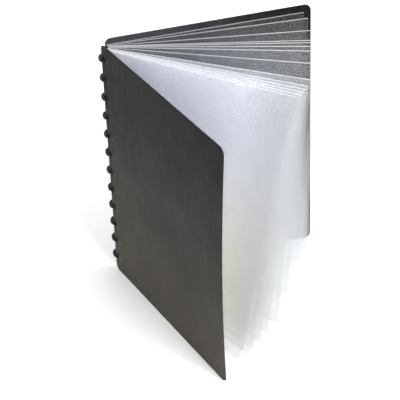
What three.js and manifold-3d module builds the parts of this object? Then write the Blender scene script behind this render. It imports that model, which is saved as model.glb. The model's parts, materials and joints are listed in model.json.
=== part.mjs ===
// Disc-bound display album, standing open like a fan on its bottom edges.
// Two stiff covers and a block of clear film sleeves share one row of binding discs.
// Millimetres, +Z up along the spine, +X from the spine to the open side.
// The origin is at the middle of the album's footprint, on the surface it stands on.
import * as THREE from "three";
import { mergeVertices } from "three/addons/utils/BufferGeometryUtils.js";
import Module from "manifold-3d";

const wasm = await Module();
wasm.setup();

// Binding discs
const discCount = 12;
const discPitch = 25.4;
const webThickness = 1.8;
const rimThickness = 3.8;
const rimWidth = 2.2;
const rimBevel = 0.6;
const discSegments = 24;

// Covers
const coverWidth = 240;
const coverEndMargin = 20.3; // from the last disc to the cover's end
const coverThickness = 0.8;
const freeCornerRadius = 8;
const spineCornerRadius = 4;
const coverSetback = 0.45; // from the plane through the disc axis to a cover's spine edge

// Sleeves, each one pocket of two films welded along three sides
const sleeveCount = 14;
const sleeveSideInset = 11; // how much narrower than a cover
const sleeveEndInset = 7; // how much shorter than a cover, at each end
const sleeveCornerRadius = 3;
const filmThickness = 0.14;
const pocketGap = 0.17;
const stripWidth = 9; // punched strip between the spine edge and the pocket
const weldWidth = 2;

// Clearances
const leafClearance = 0.3; // between neighbouring leaves when the album is shut
const slotClearance = 0.3; // between a disc and the slot that it runs in
const rimRoom = 0.6; // from a cover's outer face to the inside of the rim

// Angles in degrees, counted from the back cover
const coverOpening = 72.5;
const sleeveAngles = [2.5, 6.5, 12.5, 18, 21.75, 26, 29.25, 34, 40.5, 44, 46.5, 49, 51.5, 53.75];

// Outlines of the leaves
const coverHeight = discPitch * (discCount - 1) + 2 * coverEndMargin;
const sleeveHeight = coverHeight - 2 * sleeveEndInset;
const sleeveWidth = coverWidth - sleeveSideInset;

// The closed stack, measured from the disc axis along a leaf's normal
const sleeveThickness = 2 * filmThickness + pocketGap;
const sleevePitch = sleeveThickness + leafClearance;
const lastSleeveOffset = (sleevePitch * (sleeveCount - 1)) / 2;
const coverInnerFace = lastSleeveOffset + sleeveThickness / 2 + leafClearance;
const coverOffset = coverInnerFace + coverThickness / 2;
const coverOuterFace = coverInnerFace + coverThickness;

// The disc holds the closed stack inside its rim
const rimInnerRadius = coverOuterFace + rimRoom;
const rimMiddleRadius = rimInnerRadius + rimWidth / 2;
const discRadius = rimInnerRadius + rimWidth;
const facetedInnerRadius = rimInnerRadius * Math.cos(Math.PI / discSegments);

// One slot fits every leaf: a neck for the web, then a wider head for the rim
const neckWidth = webThickness + 2 * slotClearance;
const headWidth = rimThickness + 2 * slotClearance;
const neckLength = chordHalf(facetedInnerRadius, coverOuterFace) - slotClearance - coverSetback;
const slotDepth = chordHalf(discRadius, coverInnerFace) + slotClearance - coverSetback;

// Half the chord that a circle leaves on a line at the given distance from its centre.
function chordHalf(radius, distance) {
  return Math.sqrt(radius * radius - distance * distance);
}

// Distance along a leaf from the disc axis to its spine edge: leaves nearer the middle sit further out.
function spineEdge(offset) {
  return coverSetback + chordHalf(rimMiddleRadius, offset) - chordHalf(rimMiddleRadius, coverOffset);
}

// Height of each disc over the bottom edge of the covers.
function discHeight(index) {
  return coverEndMargin + discPitch * index;
}

// A leaf's outline: x runs from the spine edge to the free edge, y runs up.
function leafOutline(edge, bottom, width, height, spineRadius, freeRadius) {
  const top = bottom + height;
  const free = edge + width;
  const outline = new THREE.Shape();
  outline.moveTo(edge + spineRadius, bottom);
  outline.lineTo(free - freeRadius, bottom);
  outline.absarc(free - freeRadius, bottom + freeRadius, freeRadius, -Math.PI / 2, 0, false);
  outline.lineTo(free, top - freeRadius);
  outline.absarc(free - freeRadius, top - freeRadius, freeRadius, 0, Math.PI / 2, false);
  outline.lineTo(edge + spineRadius, top);
  outline.absarc(edge + spineRadius, top - spineRadius, spineRadius, Math.PI / 2, Math.PI, false);
  for (let index = discCount - 1; index >= 0; index -= 1) {
    punchSlot(outline, edge, discHeight(index));
  }
  outline.absarc(edge + spineRadius, bottom + spineRadius, spineRadius, Math.PI, 1.5 * Math.PI, false);
  return outline;
}

// Adds one open slot to an outline that runs down the spine edge.
function punchSlot(outline, edge, height) {
  const neckEnd = edge + neckLength;
  const headEnd = edge + slotDepth;
  outline.lineTo(edge, height + neckWidth / 2);
  outline.lineTo(neckEnd, height + neckWidth / 2);
  outline.lineTo(neckEnd, height + headWidth / 2);
  outline.lineTo(headEnd, height + headWidth / 2);
  outline.lineTo(headEnd, height - headWidth / 2);
  outline.lineTo(neckEnd, height - headWidth / 2);
  outline.lineTo(neckEnd, height - neckWidth / 2);
  outline.lineTo(edge, height - neckWidth / 2);
}

// Gives the outline a thickness and stands it up, centred at its offset from the disc axis.
// A positive offset lies towards the front cover, which is -Y on an unturned leaf.
function leafGeometry(outline, offset, thickness, curveSegments) {
  const geometry = new THREE.ExtrudeGeometry(outline, {
    depth: thickness,
    bevelEnabled: false,
    curveSegments,
  });
  geometry.rotateX(Math.PI / 2);
  geometry.translate(0, thickness / 2 - offset, 0);
  return geometry;
}

function toSolid(geometry) {
  const bare = geometry.clone();
  bare.deleteAttribute("normal");
  bare.deleteAttribute("uv");
  const merged = mergeVertices(bare, 1e-4);
  const mesh = new wasm.Mesh({
    numProp: 3,
    vertProperties: merged.attributes.position.array,
    triVerts: new Uint32Array(merged.index.array),
  });
  return new wasm.Manifold(mesh);
}

function toGeometry(solid) {
  const mesh = solid.getMesh();
  const geometry = new THREE.BufferGeometry();
  geometry.setAttribute("position", new THREE.BufferAttribute(mesh.vertProperties, 3));
  geometry.setIndex(new THREE.BufferAttribute(mesh.triVerts, 1));
  geometry.computeVertexNormals();
  return geometry;
}

function coverGeometry(offset) {
  const edge = spineEdge(coverOffset);
  const outline = leafOutline(edge, 0, coverWidth, coverHeight, spineCornerRadius, freeCornerRadius);
  return leafGeometry(outline, offset, coverThickness, 6);
}

// A sleeve is a flat envelope: the pocket is closed at the strip, the free edge and the bottom.
function sleeveGeometry(offset) {
  const edge = spineEdge(offset);
  const radius = sleeveCornerRadius;
  const outline = leafOutline(edge, sleeveEndInset, sleeveWidth, sleeveHeight, radius, radius);
  const envelope = leafGeometry(outline, offset, sleeveThickness, 3);
  const pocketWidth = sleeveWidth - stripWidth - weldWidth;
  const pocket = new THREE.BoxGeometry(pocketWidth, pocketGap, sleeveHeight);
  pocket.translate(edge + stripWidth + pocketWidth / 2, -offset, coverHeight / 2 + weldWidth);
  return toGeometry(toSolid(envelope).subtract(toSolid(pocket)));
}

// A flat web with a thicker rim bead, turned about the disc's own axis.
function discGeometry() {
  const web = webThickness / 2;
  const rim = rimThickness / 2;
  const half = [
    [0, web],
    [rimInnerRadius, web],
    [rimInnerRadius + rimBevel / 2, rim],
    [discRadius - rimBevel, rim],
    [discRadius, rim - rimBevel],
  ];
  const lower = half.map(([radius, height]) => new THREE.Vector2(radius, -height));
  const upper = half.map(([radius, height]) => new THREE.Vector2(radius, height)).reverse();
  const geometry = new THREE.LatheGeometry([...lower, ...upper], discSegments);
  geometry.rotateX(Math.PI / 2);
  return toGeometry(toSolid(geometry));
}

const finishes = {
  frontCover: new THREE.MeshStandardMaterial({ color: 0x46474a, roughness: 0.45, metalness: 0 }),
  backCover: new THREE.MeshStandardMaterial({ color: 0x1c1c1d, roughness: 0.4, metalness: 0 }),
  disc: new THREE.MeshStandardMaterial({ color: 0x101011, roughness: 0.2, metalness: 0 }),
  film: new THREE.MeshStandardMaterial({
    color: 0xe4e8ea,
    roughness: 0.15,
    metalness: 0,
    transparent: true,
    opacity: 0.35,
  }),
};

// Turns a leaf about the disc axis to its angle from the back cover.
function addLeaf(album, name, geometry, finish, angle) {
  const leaf = new THREE.Mesh(geometry, finish);
  leaf.name = name;
  leaf.rotation.z = THREE.MathUtils.degToRad(coverOpening / 2 - angle);
  album.add(leaf);
}

function twoDigits(number) {
  return String(number).padStart(2, "0");
}

function addCovers(album) {
  addLeaf(album, "back_cover", coverGeometry(-coverOffset), finishes.backCover, 0);
  addLeaf(album, "front_cover", coverGeometry(coverOffset), finishes.frontCover, coverOpening);
}

function addSleeves(album) {
  sleeveAngles.forEach((angle, index) => {
    const offset = sleevePitch * index - lastSleeveOffset;
    addLeaf(album, `sleeve_${twoDigits(index + 1)}`, sleeveGeometry(offset), finishes.film, angle);
  });
}

// The first disc is the top one.
function addDiscs(album) {
  for (let index = 0; index < discCount; index += 1) {
    const disc = new THREE.Mesh(discGeometry(), finishes.disc);
    disc.name = `disc_${twoDigits(index + 1)}`;
    disc.position.z = discHeight(discCount - 1 - index);
    album.add(disc);
  }
}

const album = new THREE.Group();
addCovers(album);
addSleeves(album);
addDiscs(album);

// Puts the origin at the middle of the footprint.
album.updateMatrixWorld(true);
const footprint = new THREE.Box3().setFromObject(album, true);
album.position.x = -(footprint.min.x + footprint.max.x) / 2;
album.position.y = -(footprint.min.y + footprint.max.y) / 2;

export default album;
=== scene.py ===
# Disc-bound display album standing open like a fan: two polypropylene covers,
# a block of clear film sleeves and a row of moulded binding discs.
import json
import math
import bpy
from mathutils import Matrix, Vector


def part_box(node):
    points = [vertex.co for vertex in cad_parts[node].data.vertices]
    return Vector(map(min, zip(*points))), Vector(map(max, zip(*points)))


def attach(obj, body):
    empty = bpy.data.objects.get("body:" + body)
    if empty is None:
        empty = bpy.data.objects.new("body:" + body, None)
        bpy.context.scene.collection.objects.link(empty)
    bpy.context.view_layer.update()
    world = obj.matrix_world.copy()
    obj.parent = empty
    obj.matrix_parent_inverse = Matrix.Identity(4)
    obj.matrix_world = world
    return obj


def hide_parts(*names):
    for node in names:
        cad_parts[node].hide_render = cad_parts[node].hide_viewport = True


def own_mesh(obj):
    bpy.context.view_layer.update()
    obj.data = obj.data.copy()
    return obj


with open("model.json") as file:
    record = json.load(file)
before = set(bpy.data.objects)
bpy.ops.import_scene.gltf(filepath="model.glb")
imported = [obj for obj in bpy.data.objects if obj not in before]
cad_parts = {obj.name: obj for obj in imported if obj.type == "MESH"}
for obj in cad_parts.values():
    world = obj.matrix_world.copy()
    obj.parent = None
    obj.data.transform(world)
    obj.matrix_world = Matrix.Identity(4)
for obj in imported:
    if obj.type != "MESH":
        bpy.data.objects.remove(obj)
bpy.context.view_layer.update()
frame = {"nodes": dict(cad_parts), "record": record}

mm = 0.001
scene = bpy.context.scene
behaviour = frame["record"]["behaviour"]
jointOf = {joint["child"]: joint for joint in behaviour["joints"]}
print("frame loaded:", len(frame["nodes"]), "nodes")

# The frame gives every angle, place and outer size.
spine = Vector(jointOf["front_cover"]["pos_m"])
spine.z = 0.0


def restAngles():
    # each leaf's angle from the back cover in degrees, from how far its hinge shuts
    fan = next(joint for joint in behaviour["joints"] if joint["name"] == "sleeve_fan")
    shut = -fan["range_deg"][0]
    childOf = {joint["name"]: joint["child"] for joint in behaviour["joints"]}
    angles = {childOf[link["joint"]]: link["ratio"] * shut for link in behaviour["couplings"]}
    angles[fan["child"]] = shut
    angles["back_cover"] = 0.0
    angles["front_cover"] = shut - jointOf["front_cover"]["range_deg"][0]
    return angles


leafAngles = restAngles()
opening = leafAngles["front_cover"]
sleeveNames = sorted(name for name in leafAngles if name.startswith("sleeve"))
discNames = sorted(name for name in frame["nodes"] if name.startswith("disc"))
discHeights = sorted(sum(corner.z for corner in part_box(name)) / 2 for name in discNames)


def measureLeaf(name):
    # a leaf's own directions: along it from the spine, and across it towards the front cover
    heading = math.radians(opening / 2 - leafAngles[name])
    along = Vector((math.cos(heading), math.sin(heading), 0.0))
    across = Vector((math.sin(heading), -math.cos(heading), 0.0))
    points = [vertex.co - spine for vertex in frame["nodes"][name].data.vertices]
    runs = [point.dot(along) for point in points]
    depths = [point.dot(across) for point in points]
    heights = [point.z for point in points]
    return {
        "along": along, "across": across, "edge": min(runs), "free": max(runs),
        "low": min(heights), "high": max(heights), "inner": min(depths), "outer": max(depths),
    }


# Small helpers.
def hexColour(text):
    # sRGB hex to the linear RGBA that shaders take
    channels = [int(text[place:place + 2], 16) / 255 for place in (0, 2, 4)]
    linear = [c / 12.92 if c <= 0.04045 else ((c + 0.055) / 1.055) ** 2.4 for c in channels]
    return (*linear, 1.0)


def addNode(tree, kind, inputs=None, **settings):
    # one node with its settings; an input takes a socket to link, or a value
    node = tree.nodes.new(kind)
    for key, value in settings.items():
        setattr(node, key, value)
    for key, value in (inputs or {}).items():
        if isinstance(value, bpy.types.NodeSocket):
            tree.links.new(value, node.inputs[key])
        else:
            node.inputs[key].default_value = value
    return node


def newMaterial(name):
    material = bpy.data.materials.new(name)
    material.use_nodes = True
    material.node_tree.nodes.clear()
    return material, material.node_tree


def meshPiece(name, vertices, faces):
    mesh = bpy.data.meshes.new(name)
    mesh.from_pydata(vertices, [], faces)
    piece = bpy.data.objects.new(name, mesh)
    scene.collection.objects.link(piece)
    return piece


def newGeometryTree(name, inputs):
    tree = bpy.data.node_groups.new(name, "GeometryNodeTree")
    tree.interface.new_socket("Geometry", in_out="INPUT", socket_type="NodeSocketGeometry")
    for label, kind in inputs.items():
        tree.interface.new_socket(label, in_out="INPUT", socket_type="NodeSocket" + kind)
    tree.interface.new_socket("Geometry", in_out="OUTPUT", socket_type="NodeSocketGeometry")
    return tree, tree.nodes.new("NodeGroupInput").outputs, tree.nodes.new("NodeGroupOutput")


def finishTree(tree, geometry, material, output):
    # real geometry with its material, because instances don't leave Blender
    solid = addNode(tree, "GeometryNodeRealizeInstances", {"Geometry": geometry})
    painted = addNode(tree, "GeometryNodeSetMaterial", {"Geometry": solid.outputs[0], "Material": material})
    tree.links.new(painted.outputs[0], output.inputs[0])


def runTree(piece, tree, values):
    # a Geometry Nodes modifier, with each input set by its socket's identifier
    modifier = piece.modifiers.new(tree.name, "NODES")
    modifier.node_group = tree
    for item in tree.interface.items_tree:
        if item.in_out == "INPUT" and item.name in values:
            modifier[item.identifier] = values[item.name]


def bakeShape(piece, sharpDegrees):
    # the evaluated shape as a plain mesh, with every modifier gone
    graph = bpy.context.evaluated_depsgraph_get()
    made = bpy.data.meshes.new_from_object(
        piece.evaluated_get(graph), preserve_all_data_layers=True, depsgraph=graph)
    made.name = piece.name
    piece.modifiers.clear()
    piece.data = made
    made.polygons.foreach_set("use_smooth", [True] * len(made.polygons))
    made.set_sharp_from_angle(angle=math.radians(sharpDegrees))
    return piece


# Materials.
coverFinish = {
    # darker colour, lighter colour, the axis that painted light runs along between them, and where it
    # starts and ends
    # front: painted reflection of the floor, lighter towards the bottom
    "front": ("121314", "3d3932", "Z", 0.27, 0.02),
    # back: painted shade, near black towards the free end and lighter near the spine
    "back": ("040405", "333336", "X", 0.06, -0.11),
    "reflection": 0.06,
    "roughness": (0.37, 0.49),
    "grain": 0.8 * mm,  # real grain is near 0.2 mm, too fine to show
    "grainHeight": 0.03 * mm,
    "grainStrength": 0.8,
    "cloud": 70 * mm,
    "cloudReach": 0.12,  # metres that the patches shift the edge of the painted light
    "hairline": 1.2 * mm,
    "hairlineTurn": (0.2, 0.35, 0.0),
    "hairlineStretch": (1.0, 1.0, 0.04),
    "hairlineBand": (0.66, 0.74),  # only the crests of the noise show as hairlines
    "hairlineShare": 0.12,
    "hairlineColour": "8a8a8a",
}


def extrudedSheet(name, darkerColour, lighterColour, axis, start, end):
    # Extruded polypropylene sheet, pressed with a fine sand grain on the chill roll: a satin
    # face that blurs reflections, with faint hairlines from sliding in and out of a shelf.
    material, tree = newMaterial(name)
    place = addNode(tree, "ShaderNodeTexCoord").outputs["Object"]
    grain = addNode(tree, "ShaderNodeTexNoise", {
        "Vector": place, "Scale": 1 / coverFinish["grain"], "Detail": 2.0, "Roughness": 0.6})
    cloud = addNode(tree, "ShaderNodeTexNoise", {
        "Vector": place, "Scale": 1 / coverFinish["cloud"], "Detail": 3.0})
    drawn = addNode(tree, "ShaderNodeMapping", {
        "Vector": place, "Rotation": coverFinish["hairlineTurn"], "Scale": coverFinish["hairlineStretch"]})
    hairline = addNode(tree, "ShaderNodeTexNoise", {
        "Vector": drawn.outputs[0], "Scale": 1 / coverFinish["hairline"], "Detail": 1.0})
    scratch = addNode(tree, "ShaderNodeMapRange", {
        "Value": hairline.outputs["Fac"],
        "From Min": coverFinish["hairlineBand"][0], "From Max": coverFinish["hairlineBand"][1]})
    # painted light: the colour runs from the darker to the lighter colour along one axis, its edge shifted
    # by cloudy patches
    reach = addNode(tree, "ShaderNodeSeparateXYZ", {0: place}).outputs[axis]
    patch = addNode(tree, "ShaderNodeMath", {
        0: cloud.outputs["Fac"], 1: coverFinish["cloudReach"], 2: reach}, operation="MULTIPLY_ADD")
    paintedLight = addNode(tree, "ShaderNodeMapRange", {
        "Value": patch.outputs[0], "From Min": start + coverFinish["cloudReach"] / 2,
        "From Max": end + coverFinish["cloudReach"] / 2})
    shade = addNode(tree, "ShaderNodeMix", {
        0: paintedLight.outputs[0], 6: hexColour(darkerColour), 7: hexColour(lighterColour)}, data_type="RGBA")
    worn = addNode(tree, "ShaderNodeMath", {
        0: scratch.outputs[0], 1: coverFinish["hairlineShare"]}, operation="MULTIPLY")
    marked = addNode(tree, "ShaderNodeMix", {
        0: worn.outputs[0], 6: shade.outputs[2],
        7: hexColour(coverFinish["hairlineColour"])}, data_type="RGBA")
    gloss = addNode(tree, "ShaderNodeMapRange", {
        "Value": cloud.outputs["Fac"],
        "To Min": coverFinish["roughness"][0], "To Max": coverFinish["roughness"][1]})
    relief = addNode(tree, "ShaderNodeBump", {
        "Height": grain.outputs["Fac"], "Distance": coverFinish["grainHeight"],
        "Strength": coverFinish["grainStrength"]})
    shader = addNode(tree, "ShaderNodeBsdfPrincipled", {
        "Base Color": marked.outputs[2], "Roughness": gloss.outputs[0],
        "Normal": relief.outputs[0], "Specular IOR Level": coverFinish["reflection"]})
    addNode(tree, "ShaderNodeOutputMaterial", {"Surface": shader.outputs[0]})
    return material


discFinish = {
    "colour": "060607",
    "flowColour": "0d0d0f",
    "flow": 4 * mm,  # shallow waviness where the melt met the mould
    "flowHeight": 0.05 * mm,
    "flowStrength": 0.5,
    "roughness": (0.11, 0.24),
    "reflection": 0.2,
}


def mouldedDisc():
    # Injection-moulded ABS out of a polished tool: deep black with sharp highlights that
    # waver a little over the flow marks.
    material, tree = newMaterial("mouldedDiscAbs")
    place = addNode(tree, "ShaderNodeTexCoord").outputs["Object"]
    flow = addNode(tree, "ShaderNodeTexNoise", {
        "Vector": place, "Scale": 1 / discFinish["flow"], "Detail": 2.0})
    gloss = addNode(tree, "ShaderNodeMapRange", {
        "Value": flow.outputs["Fac"],
        "To Min": discFinish["roughness"][0], "To Max": discFinish["roughness"][1]})
    shade = addNode(tree, "ShaderNodeMix", {
        0: flow.outputs["Fac"], 6: hexColour(discFinish["colour"]),
        7: hexColour(discFinish["flowColour"])}, data_type="RGBA")
    relief = addNode(tree, "ShaderNodeBump", {
        "Height": flow.outputs["Fac"], "Distance": discFinish["flowHeight"],
        "Strength": discFinish["flowStrength"]})
    shader = addNode(tree, "ShaderNodeBsdfPrincipled", {
        "Base Color": shade.outputs[2], "Roughness": gloss.outputs[0],
        "Normal": relief.outputs[0], "Specular IOR Level": discFinish["reflection"]})
    addNode(tree, "ShaderNodeOutputMaterial", {"Surface": shader.outputs[0]})
    return material


sleeveShape = {
    "strip": 9 * mm,  # punched strip between the spine edge and the pocket
    "weld": 2 * mm,
    "film": 0.14 * mm,
    "gape": 0.8 * mm,  # how far the mouth of an empty pocket stands open
    "gapeFade": 4,  # power that the gape falls with below the mouth
    "draw": 4 * mm,  # a bulging leaf draws its free edge in half-way up
    "column": 9 * mm,  # mesh spacing along a leaf
    "row": 7 * mm,  # mesh spacing up a leaf
    "sharpAngle": 40,
    # degrees from the back cover, first the leaf beside it
    "topAngles": (-0.4, 2.8, 9.2, 14.3, 15.3, 17.1, 19.4, 25.6, 33.4, 36.4, 37.8, 39.1, 40.3, 41.5),
    "bottomAngles": (7, 12, 18, 22.5, 26.6, 33.6, 36.5, 40.2, 47.2, 52, 56.7, 60, 62.4, 66.3),
}

filmFinish = {
    "cleanColour": "ecedf3",
    # painted sheen: a lighter, warmer tint towards the bottom
    "footSheenColour": "fffdf5",
    "freeEdgeShadeColour": "c0c1c3",  # painted shade: greys the film towards its free edge
    "freeEdgeShadeFrom": 165 * mm,
    "freeEdgeShadeTo": 225 * mm,
    "lipColour": "ffffff",
    "clearShare": (0.997, 0.998, 0.999, 1.0),  # light that passes a clear surface
    "newHaze": 0.005,  # share of light that each surface scatters
    "handledHaze": 0.09,
    "handledFrom": 8,  # the sleeves after this many are the ones that get leafed through
    "scuffHaze": 0.045,  # standing on a shelf scuffs the lower half
    "scuffFrom": 230 * mm,
    "scuffTo": 80 * mm,
    "weldHaze": 0.03,
    "stripHaze": 0.018,
    "lipHaze": 0.3,
    "sideHaze": 0.18,
    "lip": 0.35 * mm,  # the cut edge gathers light; it is drawn wider than the film's 0.14 mm
    "mist": 40 * mm,
    "mistSpread": (0.7, 1.3),
    "gloss": 0.25,
    "mirror": 0.003,
    "mirrorRise": 0.08,
    "mirrorPower": 4.0,
    "ripple": 45 * mm,
    "rippleHeight": 0.5 * mm,
}


def bandMask(tree, value, start, end):
    # 1 where the value lies between start and end
    middle, half = (start + end) / 2, (end - start) / 2
    mask = addNode(tree, "ShaderNodeMath", {0: value, 1: middle, 2: half}, operation="COMPARE")
    return mask.outputs[0]


def clearFilm(width, height):
    # Cast polypropylene film, heat-welded and knife-cut: clear, with a faint milky scatter,
    # mirror-like ripples, cloudy welds and cut edges that gather light.
    material, tree = newMaterial("castFilmPolypropylene")
    sheet = addNode(tree, "ShaderNodeUVMap", uv_map="sheet").outputs[0]
    parts = addNode(tree, "ShaderNodeSeparateXYZ", {0: sheet}).outputs
    run, rise = parts[0], parts[1]
    place = addNode(tree, "ShaderNodeTexCoord").outputs["Object"]
    weld = sleeveShape["weld"]
    lip = filmFinish["lip"]
    lips = bandMask(tree, rise, height - lip, height + lip)
    masks = (
        (bandMask(tree, run, width - weld, width + weld), filmFinish["weldHaze"]),
        (bandMask(tree, rise, -weld, weld), filmFinish["weldHaze"]),
        (bandMask(tree, run, -weld, sleeveShape["strip"]), filmFinish["stripHaze"]),
        (lips, filmFinish["lipHaze"]),
        (bandMask(tree, run, width - lip * 0.6, width + lip), filmFinish["sideHaze"]),
    )
    mist = addNode(tree, "ShaderNodeTexNoise", {
        "Vector": place, "Scale": 1 / filmFinish["mist"], "Detail": 3.0})
    patchy = addNode(tree, "ShaderNodeMapRange", {
        "Value": mist.outputs["Fac"],
        "To Min": filmFinish["mistSpread"][0], "To Max": filmFinish["mistSpread"][1]})
    handled = addNode(tree, "ShaderNodeAttribute", attribute_name="haze")
    foot = addNode(tree, "ShaderNodeMapRange", {
        "Value": rise, "From Min": filmFinish["scuffFrom"], "From Max": filmFinish["scuffTo"]}).outputs[0]
    scuffed = addNode(tree, "ShaderNodeMath", {
        0: foot, 1: filmFinish["scuffHaze"], 2: handled.outputs["Fac"]}, operation="MULTIPLY_ADD")
    haze = addNode(tree, "ShaderNodeMath", {
        0: scuffed.outputs[0], 1: patchy.outputs[0]}, operation="MULTIPLY").outputs[0]
    for mask, amount in masks:
        added = addNode(tree, "ShaderNodeMath", {0: mask, 1: amount, 2: haze}, operation="MULTIPLY_ADD")
        haze = added.outputs[0]
    ripple = addNode(tree, "ShaderNodeTexNoise", {
        "Vector": place, "Scale": 1 / filmFinish["ripple"], "Detail": 1.0})
    relief = addNode(tree, "ShaderNodeBump", {
        "Height": ripple.outputs["Fac"], "Distance": filmFinish["rippleHeight"], "Strength": 1.0})
    # painted shade: the tint greys towards the free edge
    freeEdgeShade = addNode(tree, "ShaderNodeMapRange", {
        "Value": run, "From Min": filmFinish["freeEdgeShadeFrom"], "From Max": filmFinish["freeEdgeShadeTo"]})
    # painted sheen: the tint turns lighter and warmer towards the bottom
    sheenedTint = addNode(tree, "ShaderNodeMix", {
        0: foot, 6: hexColour(filmFinish["cleanColour"]),
        7: hexColour(filmFinish["footSheenColour"])}, data_type="RGBA")
    greyed = addNode(tree, "ShaderNodeMix", {
        0: freeEdgeShade.outputs[0], 6: sheenedTint.outputs[2],
        7: hexColour(filmFinish["freeEdgeShadeColour"])}, data_type="RGBA")
    edged = addNode(tree, "ShaderNodeMix", {
        0: lips, 6: greyed.outputs[2],
        7: hexColour(filmFinish["lipColour"])}, data_type="RGBA")
    tint = edged.outputs[2]
    scatter = addNode(tree, "ShaderNodeBsdfDiffuse", {"Color": tint})
    through = addNode(tree, "ShaderNodeBsdfTranslucent", {"Color": tint})
    milk = addNode(tree, "ShaderNodeMixShader", {0: 0.5, 1: scatter.outputs[0], 2: through.outputs[0]})
    clear = addNode(tree, "ShaderNodeBsdfTransparent", {"Color": filmFinish["clearShare"]})
    body = addNode(tree, "ShaderNodeMixShader", {0: haze, 1: clear.outputs[0], 2: milk.outputs[0]})
    mirror = addNode(tree, "ShaderNodeBsdfGlossy", {
        "Color": (1.0, 1.0, 1.0, 1.0), "Roughness": filmFinish["gloss"], "Normal": relief.outputs[0]})
    # the mirror share rises towards grazing, the same from both sides of the film
    facing = addNode(tree, "ShaderNodeLayerWeight", {"Blend": 0.5})
    grazing = addNode(tree, "ShaderNodeMath", {
        0: facing.outputs["Facing"], 1: filmFinish["mirrorPower"]}, operation="POWER")
    share = addNode(tree, "ShaderNodeMath", {
        0: grazing.outputs[0], 1: filmFinish["mirrorRise"],
        2: filmFinish["mirror"]}, operation="MULTIPLY_ADD")
    surface = addNode(tree, "ShaderNodeMixShader", {
        0: share.outputs[0], 1: body.outputs[0], 2: mirror.outputs[0]})
    addNode(tree, "ShaderNodeOutputMaterial", {"Surface": surface.outputs[0]})
    return material


# Leaves are built as a grid of cells along, up and across the leaf, each cell solid or empty.
slotShape = {
    "neckWidth": 2.4 * mm,
    "headWidth": 4.4 * mm,
    "neckLength": 1.83 * mm,
    "depth": 7.05 * mm,
}


def spread(start, end, step):
    # evenly spaced values between two ends, both left out
    count = max(1, round((end - start) / step))
    return [start + (end - start) * place / count for place in range(1, count)]


def withSteps(fixed, step):
    # the fixed lines, with even lines filled in between them
    lines = sorted(fixed)
    filled = [lines[0]]
    for start, end in zip(lines, lines[1:]):
        filled += spread(start, end, step) + [end]
    return filled


def slotLines():
    neck, head = slotShape["neckWidth"] / 2, slotShape["headWidth"] / 2
    return [height + shift for height in discHeights for shift in (-head, -neck, neck, head)]


def inSlot(run, height):
    # run counts from the leaf's spine edge
    near = min(abs(height - centre) for centre in discHeights)
    if run > slotShape["depth"]:
        return False
    return near < slotShape["neckWidth" if run < slotShape["neckLength"] else "headWidth"] / 2


def cellLeaf(name, runs, heights, depths, isSolid, place):
    # closed mesh round the solid cells; run, height and depth make a right-handed set
    counts = (len(runs) - 1, len(heights) - 1, len(depths) - 1)
    solid = set()
    for i in range(counts[0]):
        for j in range(counts[1]):
            for k in range(counts[2]):
                if isSolid((runs[i] + runs[i + 1]) / 2, (heights[j] + heights[j + 1]) / 2, k):
                    solid.add((i, j, k))
    corners = {
        (1, 0, 0): ((1, 0, 0), (1, 1, 0), (1, 1, 1), (1, 0, 1)),
        (-1, 0, 0): ((0, 0, 0), (0, 0, 1), (0, 1, 1), (0, 1, 0)),
        (0, 1, 0): ((0, 1, 0), (0, 1, 1), (1, 1, 1), (1, 1, 0)),
        (0, -1, 0): ((0, 0, 0), (1, 0, 0), (1, 0, 1), (0, 0, 1)),
        (0, 0, 1): ((0, 0, 1), (1, 0, 1), (1, 1, 1), (0, 1, 1)),
        (0, 0, -1): ((0, 0, 0), (0, 1, 0), (1, 1, 0), (1, 0, 0)),
    }
    index, vertices, faces, sheet = {}, [], [], []
    for i, j, k in sorted(solid):
        for (di, dj, dk), shifts in corners.items():
            if (i + di, j + dj, k + dk) in solid:
                continue
            face = []
            for si, sj, sk in shifts:
                key = (i + si, j + sj, k + sk)
                if key not in index:
                    index[key] = len(vertices)
                    vertices.append(place(runs[key[0]], heights[key[1]], depths[key[2]], key[2]))
                    sheet.append((runs[key[0]], heights[key[1]] - heights[0]))
                face.append(index[key])
            faces.append(face)
    piece = meshPiece(name, vertices, faces)
    layer = piece.data.uv_layers.new(name="sheet")
    for loop in piece.data.loops:
        layer.data[loop.index].uv = sheet[loop.vertex_index]
    return piece


def leafPoint(leaf, run, height, depth):
    outward = leaf["along"] * (leaf["edge"] + run)
    return spine + outward + leaf["across"] * depth + Vector((0, 0, height))


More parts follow.
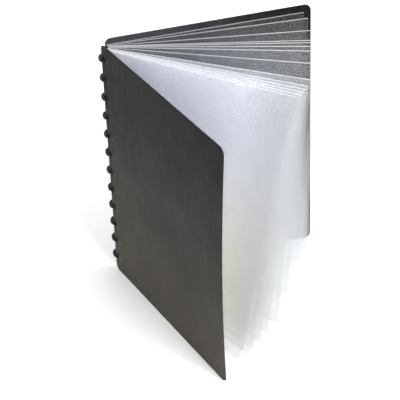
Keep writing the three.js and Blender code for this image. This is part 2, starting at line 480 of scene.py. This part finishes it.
def bendTree():
    # A limp leaf twists round the spine from its bottom to its top, and bows at its free edge.
    tree, given, output = newGeometryTree("bendLeaf", {
        "Spine": "Vector", "Along": "Vector", "Across": "Vector",
        "Low": "Float", "High": "Float", "Width": "Float",
        "Bottom Turn": "Float", "Top Turn": "Float", "Bow": "Float", "Draw": "Float",
        "Haze": "Float", "Material": "Material"})
    here = addNode(tree, "GeometryNodeInputPosition").outputs[0]
    height = addNode(tree, "ShaderNodeSeparateXYZ", {0: here}).outputs[2]
    share = addNode(tree, "ShaderNodeMapRange", {
        "Value": height, "From Min": given["Low"], "From Max": given["High"]}).outputs[0]
    turn = addNode(tree, "ShaderNodeMapRange", {
        "Value": share, "To Min": given["Bottom Turn"], "To Max": given["Top Turn"]}).outputs[0]
    turned = addNode(tree, "ShaderNodeVectorRotate", {
        "Vector": here, "Center": given["Spine"], "Angle": turn}, rotation_type="Z_AXIS").outputs[0]
    flat = addNode(tree, "ShaderNodeVectorMath", {
        0: here, 1: (1.0, 1.0, 0.0)}, operation="MULTIPLY").outputs[0]
    reach = addNode(tree, "ShaderNodeVectorMath", {
        0: flat, 1: given["Spine"]}, operation="DISTANCE").outputs["Value"]
    ratio = addNode(tree, "ShaderNodeMath", {0: reach, 1: given["Width"]}, operation="DIVIDE").outputs[0]
    square = addNode(tree, "ShaderNodeMath", {0: ratio, 1: 2.0}, operation="POWER").outputs[0]
    rest = addNode(tree, "ShaderNodeMath", {0: 1.0, 1: share}, operation="SUBTRACT").outputs[0]
    hump = addNode(tree, "ShaderNodeMath", {0: share, 1: rest}, operation="MULTIPLY").outputs[0]
    lean = addNode(tree, "ShaderNodeMath", {0: hump, 1: square}, operation="MULTIPLY").outputs[0]
    amount = addNode(tree, "ShaderNodeMath", {0: lean, 1: given["Bow"]}, operation="MULTIPLY").outputs[0]
    shift = addNode(tree, "ShaderNodeVectorMath", {
        0: given["Across"], "Scale": amount}, operation="SCALE").outputs[0]
    inward = addNode(tree, "ShaderNodeMath", {0: lean, 1: given["Draw"]}, operation="MULTIPLY").outputs[0]
    pull = addNode(tree, "ShaderNodeVectorMath", {
        0: given["Along"], "Scale": inward}, operation="SCALE").outputs[0]
    bowed = addNode(tree, "ShaderNodeVectorMath", {0: turned, 1: shift}).outputs[0]
    final = addNode(tree, "ShaderNodeVectorMath", {0: bowed, 1: pull}, operation="SUBTRACT").outputs[0]
    moved = addNode(tree, "GeometryNodeSetPosition", {"Geometry": given["Geometry"], "Position": final})
    # the film's material reads how hazy this leaf is
    marked = addNode(tree, "GeometryNodeStoreNamedAttribute", {
        "Geometry": moved.outputs[0], "Name": "haze",
        "Value": given["Haze"]}, data_type="FLOAT", domain="POINT")
    finishTree(tree, marked.outputs[0], given["Material"], output)
    return tree


def bendLeaf(piece, tree, leaf, material, turns, bow=0.0, draw=0.0, haze=0.0):
    # the hump half-way up is a quarter high, so bow and draw count four times
    runTree(piece, tree, {
        "Spine": spine, "Along": leaf["along"], "Across": leaf["across"],
        "Low": leaf["low"], "High": leaf["high"], "Width": leaf["free"],
        "Bottom Turn": math.radians(turns[0]), "Top Turn": math.radians(turns[1]),
        "Bow": 4 * bow, "Draw": 4 * draw, "Haze": haze, "Material": material})


# Covers.
coverShape = {
    "freeRadius": 8 * mm,
    "spineRadius": 7 * mm,
    "cornerCells": 5,
    "cell": 12 * mm,  # mesh spacing over the sheet
    "bevel": 0.22 * mm,
    "bevelSteps": 2,
    "bevelFrom": 50,  # degrees that an edge turns before it is bevelled
    "sharpAngle": 40,
    # degrees that the bottom and the top turn round the spine, and the bow half-way up the free edge
    "front": ((0.0, 0.0), 4 * mm),
    "back": ((-5.2, 1.3), -1 * mm),
}


def roundCorner(run, height, width, rise):
    # turns a square corner block into a quarter disc, and leaves the rest alone
    for radius, left, cornerRun in (
        (coverShape["spineRadius"], True, coverShape["spineRadius"]),
        (coverShape["freeRadius"], False, width - coverShape["freeRadius"]),
    ):
        for low in (True, False):
            cornerRise = radius if low else rise - radius
            a = (cornerRun - run if left else run - cornerRun) / radius
            b = (cornerRise - height if low else height - cornerRise) / radius
            if a > 0 and b > 0:
                x = a * math.sqrt(1 - b * b / 2) * radius
                y = b * math.sqrt(1 - a * a / 2) * radius
                run = cornerRun - x if left else cornerRun + x
                height = cornerRise - y if low else cornerRise + y
                return run, height
    return run, height


def makeCover(name, tree, material, turns, bow):
    leaf = measureLeaf(name)
    width, rise = leaf["free"] - leaf["edge"], leaf["high"] - leaf["low"]
    spineRadius, freeRadius = coverShape["spineRadius"], coverShape["freeRadius"]
    cells = coverShape["cornerCells"]
    runs = [0.0, slotShape["neckLength"], slotShape["depth"], width]
    runs += [spineRadius * place / cells for place in range(1, cells + 1)]
    runs += [width - freeRadius * place / cells for place in range(1, cells + 1)]
    heights = [0.0, rise] + slotLines()
    for radius in (spineRadius, freeRadius):
        for place in range(1, cells + 1):
            heights += [radius * place / cells, rise - radius * place / cells]

    def place(run, height, depth, layer):
        run, height = roundCorner(run, height, width, rise)
        return leafPoint(leaf, run, leaf["low"] + height, depth)

    cell = coverShape["cell"]
    piece = cellLeaf(name + "_sheet", withSteps(set(runs), cell), withSteps(set(heights), cell),
                     [leaf["inner"], leaf["outer"]],
                     lambda run, height, layer: not inSlot(run, height), place)
    bendLeaf(piece, tree, leaf, material, turns, bow)
    bevel = piece.modifiers.new("edge", "BEVEL")
    bevel.width = coverShape["bevel"]
    bevel.segments = coverShape["bevelSteps"]
    bevel.limit_method = "ANGLE"
    bevel.angle_limit = math.radians(coverShape["bevelFrom"])
    bakeShape(piece, coverShape["sharpAngle"])
    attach(piece, name)
    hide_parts(name)
    return piece, leaf


bend = bendTree()
greySheet = extrudedSheet("extrudedSheetGrey", *coverFinish["front"])
makeCover("front_cover", bend, greySheet, *coverShape["front"])
# the back sheet's near-black towards its free end is painted shade
shadedBackSheet = extrudedSheet("extrudedSheetBlack", *coverFinish["back"])
backCover, leaf = makeCover("back_cover", bend, shadedBackSheet, *coverShape["back"])
tuple(leaf["across"])
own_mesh(backCover)
print("covers made")


# Sleeves.
def makeSleeve(number, name, tree, material):
    leaf = measureLeaf(name)
    width, rise = leaf["free"] - leaf["edge"], leaf["high"] - leaf["low"]
    strip, weld, film = sleeveShape["strip"], sleeveShape["weld"], sleeveShape["film"]
    pocketEnd = width - weld
    runs = withSteps({0.0, slotShape["neckLength"], slotShape["depth"], strip, pocketEnd, width},
                     sleeveShape["column"])
    heights = withSteps({leaf["low"], leaf["low"] + weld, leaf["high"]} | set(slotLines()),
                        sleeveShape["row"])
    depths = [leaf["inner"], leaf["inner"] + film, leaf["outer"] - film, leaf["outer"]]

    def isSolid(run, height, layer):
        if inSlot(run, height):
            return False
        inPocket = strip < run < pocketEnd and height > leaf["low"] + weld
        return layer != 1 or not inPocket

    def place(run, height, depth, line):
        across = min(max((run - strip) / (pocketEnd - strip), 0.0), 1.0)
        upward = max((height - leaf["low"] - weld) / (rise - weld), 0.0)
        gape = sleeveShape["gape"] * math.sin(math.pi * across) * upward ** sleeveShape["gapeFade"]
        return leafPoint(leaf, run, height, depth + (gape / 2 if line > 1 else -gape / 2))

    piece = cellLeaf(name + "_pocket", runs, heights, depths, isSolid, place)
    turns = [leafAngles[name] - sleeveShape[end][number] for end in ("bottomAngles", "topAngles")]
    handled = number >= filmFinish["handledFrom"]
    bendLeaf(piece, tree, leaf, material, turns, draw=sleeveShape["draw"],
             haze=filmFinish["handledHaze" if handled else "newHaze"])
    bakeShape(piece, sleeveShape["sharpAngle"])
    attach(piece, name)
    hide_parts(name)
    tuple(leaf["across"])
    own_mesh(piece)
    return piece


firstSleeve = measureLeaf(sleeveNames[0])
film = clearFilm(firstSleeve["free"] - firstSleeve["edge"], firstSleeve["high"] - firstSleeve["low"])
for number, name in enumerate(sleeveNames):
    makeSleeve(number, name, bend, film)
print("sleeves made:", len(sleeveNames))


# Discs.
discShape = {
    "web": 1.8 * mm,
    "rimWidth": 2.2 * mm,
    "shoulder": 0.3 * mm,
    "fillet": 0.95 * mm,
    "filletSteps": 4,
    "segments": 64,
    "pathRadius": 0.0001 * mm,  # a tiny circle is the path, and the section reaches out from it
    "poleMerge": 0.002 * mm,
    "sharpAngle": 50,
}


def discProfile(radius, rim):
    # half section of a disc as an open curve from pole to pole
    web, inner = discShape["web"] / 2, radius - discShape["rimWidth"]
    upper = [(0, web), (inner, web), (inner + discShape["shoulder"], rim), (radius, rim)]
    points = upper + [(x, -y) for x, y in reversed(upper)]
    curve = bpy.data.curves.new("discProfile", "CURVE")
    spline = curve.splines.new("POLY")
    spline.points.add(len(points) - 1)
    for point, (x, y) in zip(spline.points, points):
        point.co = (x, y, 0.0, 1.0)
    outline = bpy.data.objects.new("discProfile", curve)
    scene.collection.objects.link(outline)
    return outline


def discTree():
    # The section is swept once round the axis and closed at its two poles.
    tree, given, output = newGeometryTree("turnDisc", {
        "Profile": "Object", "Segments": "Int", "Fillet": "Float", "Fillet Steps": "Int",
        "Centre": "Vector", "Material": "Material"})
    section = addNode(tree, "GeometryNodeObjectInfo", {"Object": given["Profile"]})
    rounded = addNode(tree, "GeometryNodeFilletCurve", {
        "Curve": section.outputs["Geometry"], "Radius": given["Fillet"], "Count": given["Fillet Steps"],
        "Limit Radius": True}, mode="POLY")
    path = addNode(tree, "GeometryNodeCurvePrimitiveCircle", {
        "Resolution": given["Segments"], "Radius": discShape["pathRadius"]})
    swept = addNode(tree, "GeometryNodeCurveToMesh", {
        "Curve": path.outputs["Curve"], "Profile Curve": rounded.outputs[0]})
    closed = addNode(tree, "GeometryNodeMergeByDistance", {
        "Geometry": swept.outputs[0], "Distance": discShape["poleMerge"]})
    placed = addNode(tree, "GeometryNodeTransform", {
        "Geometry": closed.outputs[0], "Translation": given["Centre"]})
    finishTree(tree, placed.outputs[0], given["Material"], output)
    return tree


def makeDisc(name, tree, outline, material):
    low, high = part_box(name)
    piece = meshPiece(name + "_moulding", [], [])
    runTree(piece, tree, {
        "Profile": outline, "Segments": discShape["segments"], "Fillet": discShape["fillet"],
        "Fillet Steps": discShape["filletSteps"], "Centre": (low + high) / 2, "Material": material})
    bakeShape(piece, discShape["sharpAngle"])
    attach(piece, name)
    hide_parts(name)
    return piece


discLow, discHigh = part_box(discNames[0])
outline = discProfile((discHigh.x - discLow.x) / 2, (discHigh.z - discLow.z) / 2)
turning = discTree()
discPlastic = mouldedDisc()
discPieces = [makeDisc(name, turning, outline, discPlastic) for name in discNames]
bpy.data.objects.remove(outline)
print("discs made:", len(discPieces))

# Stage: a pale floor, soft light and the camera.
stage = {
    "floorSize": 8.0,
    "floorColour": "f6f6f5",
    "horizonColour": "f6f8fd",
    "zenithColour": "ffffff",
    "worldStrength": 1.15,
    "lampAim": (0.0, 0.0, 0.15),
}

lamps = {
    # name: place in metres, side in metres, power in watts
    "window": ((1.75, 0.8, 0.85), 1.2, 16),  # from the right, behind most of the sleeves
    "door": ((1.6, -0.85, 0.8), 1.1, 58),  # from the right, in front of the sleeves
}

cameraShape = {
    "fromSpine": (565.8 * mm, -1168.6 * mm, 1104.7 * mm),
    "azimuth": 21.46,
    "elevation": 37.85,
    "roll": -1.36,
    "lens": 124.3,
    "sensor": 36.0,
}


def makeFloor():
    half = stage["floorSize"] / 2
    corners = [(-half, -half, 0), (half, -half, 0), (half, half, 0), (-half, half, 0)]
    floor = meshPiece("floor", corners, [(0, 1, 2, 3)])
    material, tree = newMaterial("paintedBoard")
    shader = addNode(tree, "ShaderNodeBsdfDiffuse", {"Color": hexColour(stage["floorColour"])})
    addNode(tree, "ShaderNodeOutputMaterial", {"Surface": shader.outputs[0]})
    floor.data.materials.append(material)


def makeLight():
    world = bpy.data.worlds.new("paleRoom")
    scene.world = world
    world.use_nodes = True
    world.node_tree.nodes.clear()
    # a slight fall from ceiling to horizon, which also lets the room be sampled as a lamp
    ray = addNode(world.node_tree, "ShaderNodeTexCoord").outputs["Generated"]
    height = addNode(world.node_tree, "ShaderNodeSeparateXYZ", {0: ray}).outputs[2]
    sky = addNode(world.node_tree, "ShaderNodeMix", {
        0: height, 6: hexColour(stage["horizonColour"]),
        7: hexColour(stage["zenithColour"])}, data_type="RGBA")
    glow = addNode(world.node_tree, "ShaderNodeBackground", {
        "Color": sky.outputs[2], "Strength": stage["worldStrength"]})
    addNode(world.node_tree, "ShaderNodeOutputWorld", {"Surface": glow.outputs[0]})
    aim = Vector(stage["lampAim"])
    for name, (place, side, power) in lamps.items():
        lamp = bpy.data.lights.new(name, "AREA")
        lamp.shape = "SQUARE"
        lamp.size = side
        lamp.energy = power
        holder = bpy.data.objects.new(name, lamp)
        holder.location = place
        holder.rotation_euler = (aim - Vector(place)).to_track_quat("-Z", "Y").to_euler()
        scene.collection.objects.link(holder)


def makeCamera():
    azimuth = math.radians(cameraShape["azimuth"])
    elevation = math.radians(cameraShape["elevation"])
    roll = math.radians(cameraShape["roll"])
    ahead = Vector((-math.sin(azimuth) * math.cos(elevation),
                    math.cos(azimuth) * math.cos(elevation), -math.sin(elevation)))
    right = Vector((math.cos(azimuth), math.sin(azimuth), 0.0))
    up = right.cross(ahead)
    level = right * math.cos(roll) + up * math.sin(roll)
    upright = up * math.cos(roll) - right * math.sin(roll)
    data = bpy.data.cameras.new("camera")
    data.lens = cameraShape["lens"]
    data.sensor_width = cameraShape["sensor"]
    camera = bpy.data.objects.new("camera", data)
    turn = Matrix((level, upright, -ahead)).transposed()
    camera.matrix_world = Matrix.Translation(spine + Vector(cameraShape["fromSpine"])) @ turn.to_4x4()
    scene.collection.objects.link(camera)
    scene.camera = camera


makeFloor()
makeLight()
makeCamera()
scene.view_settings.view_transform = "Standard"
scene.cycles.transparent_max_bounces = 96  # a view through the fan crosses every film
scene.cycles.max_bounces = 16
print("stage set")
